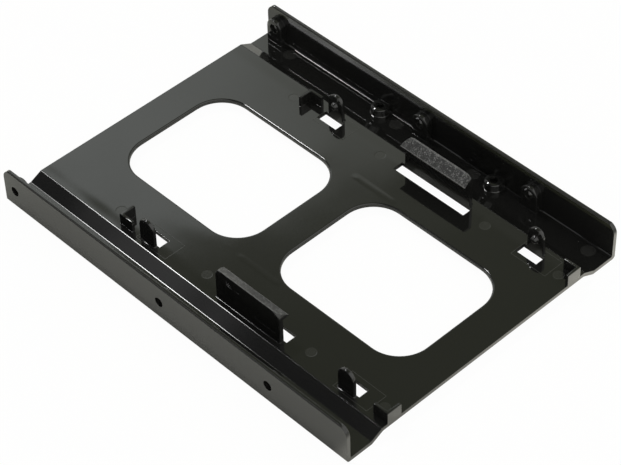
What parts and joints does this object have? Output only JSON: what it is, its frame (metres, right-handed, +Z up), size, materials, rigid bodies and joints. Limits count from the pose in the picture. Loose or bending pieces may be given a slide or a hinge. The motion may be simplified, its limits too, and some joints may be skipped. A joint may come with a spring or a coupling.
{
  "type": "drive bay adapter bracket",
  "caption": "Flat moulded tray with screw-hole side rails, large rounded openings, snap hooks and pin lugs that hold a small drive inside a wider drive bay.",
  "frame": {"origin": "on the ground below the middle of the tray", "axes": "+X across the tray, +Y along it away from the drive's connector end, +Z up from the deck"},
  "size_m": [0.1016, 0.1348, 0.0136],
  "materials": {
    "bracket": "glossy"
  },
  "bodies": {
    "root": {"bracket": "bracket"}
  },
  "joints": []
}
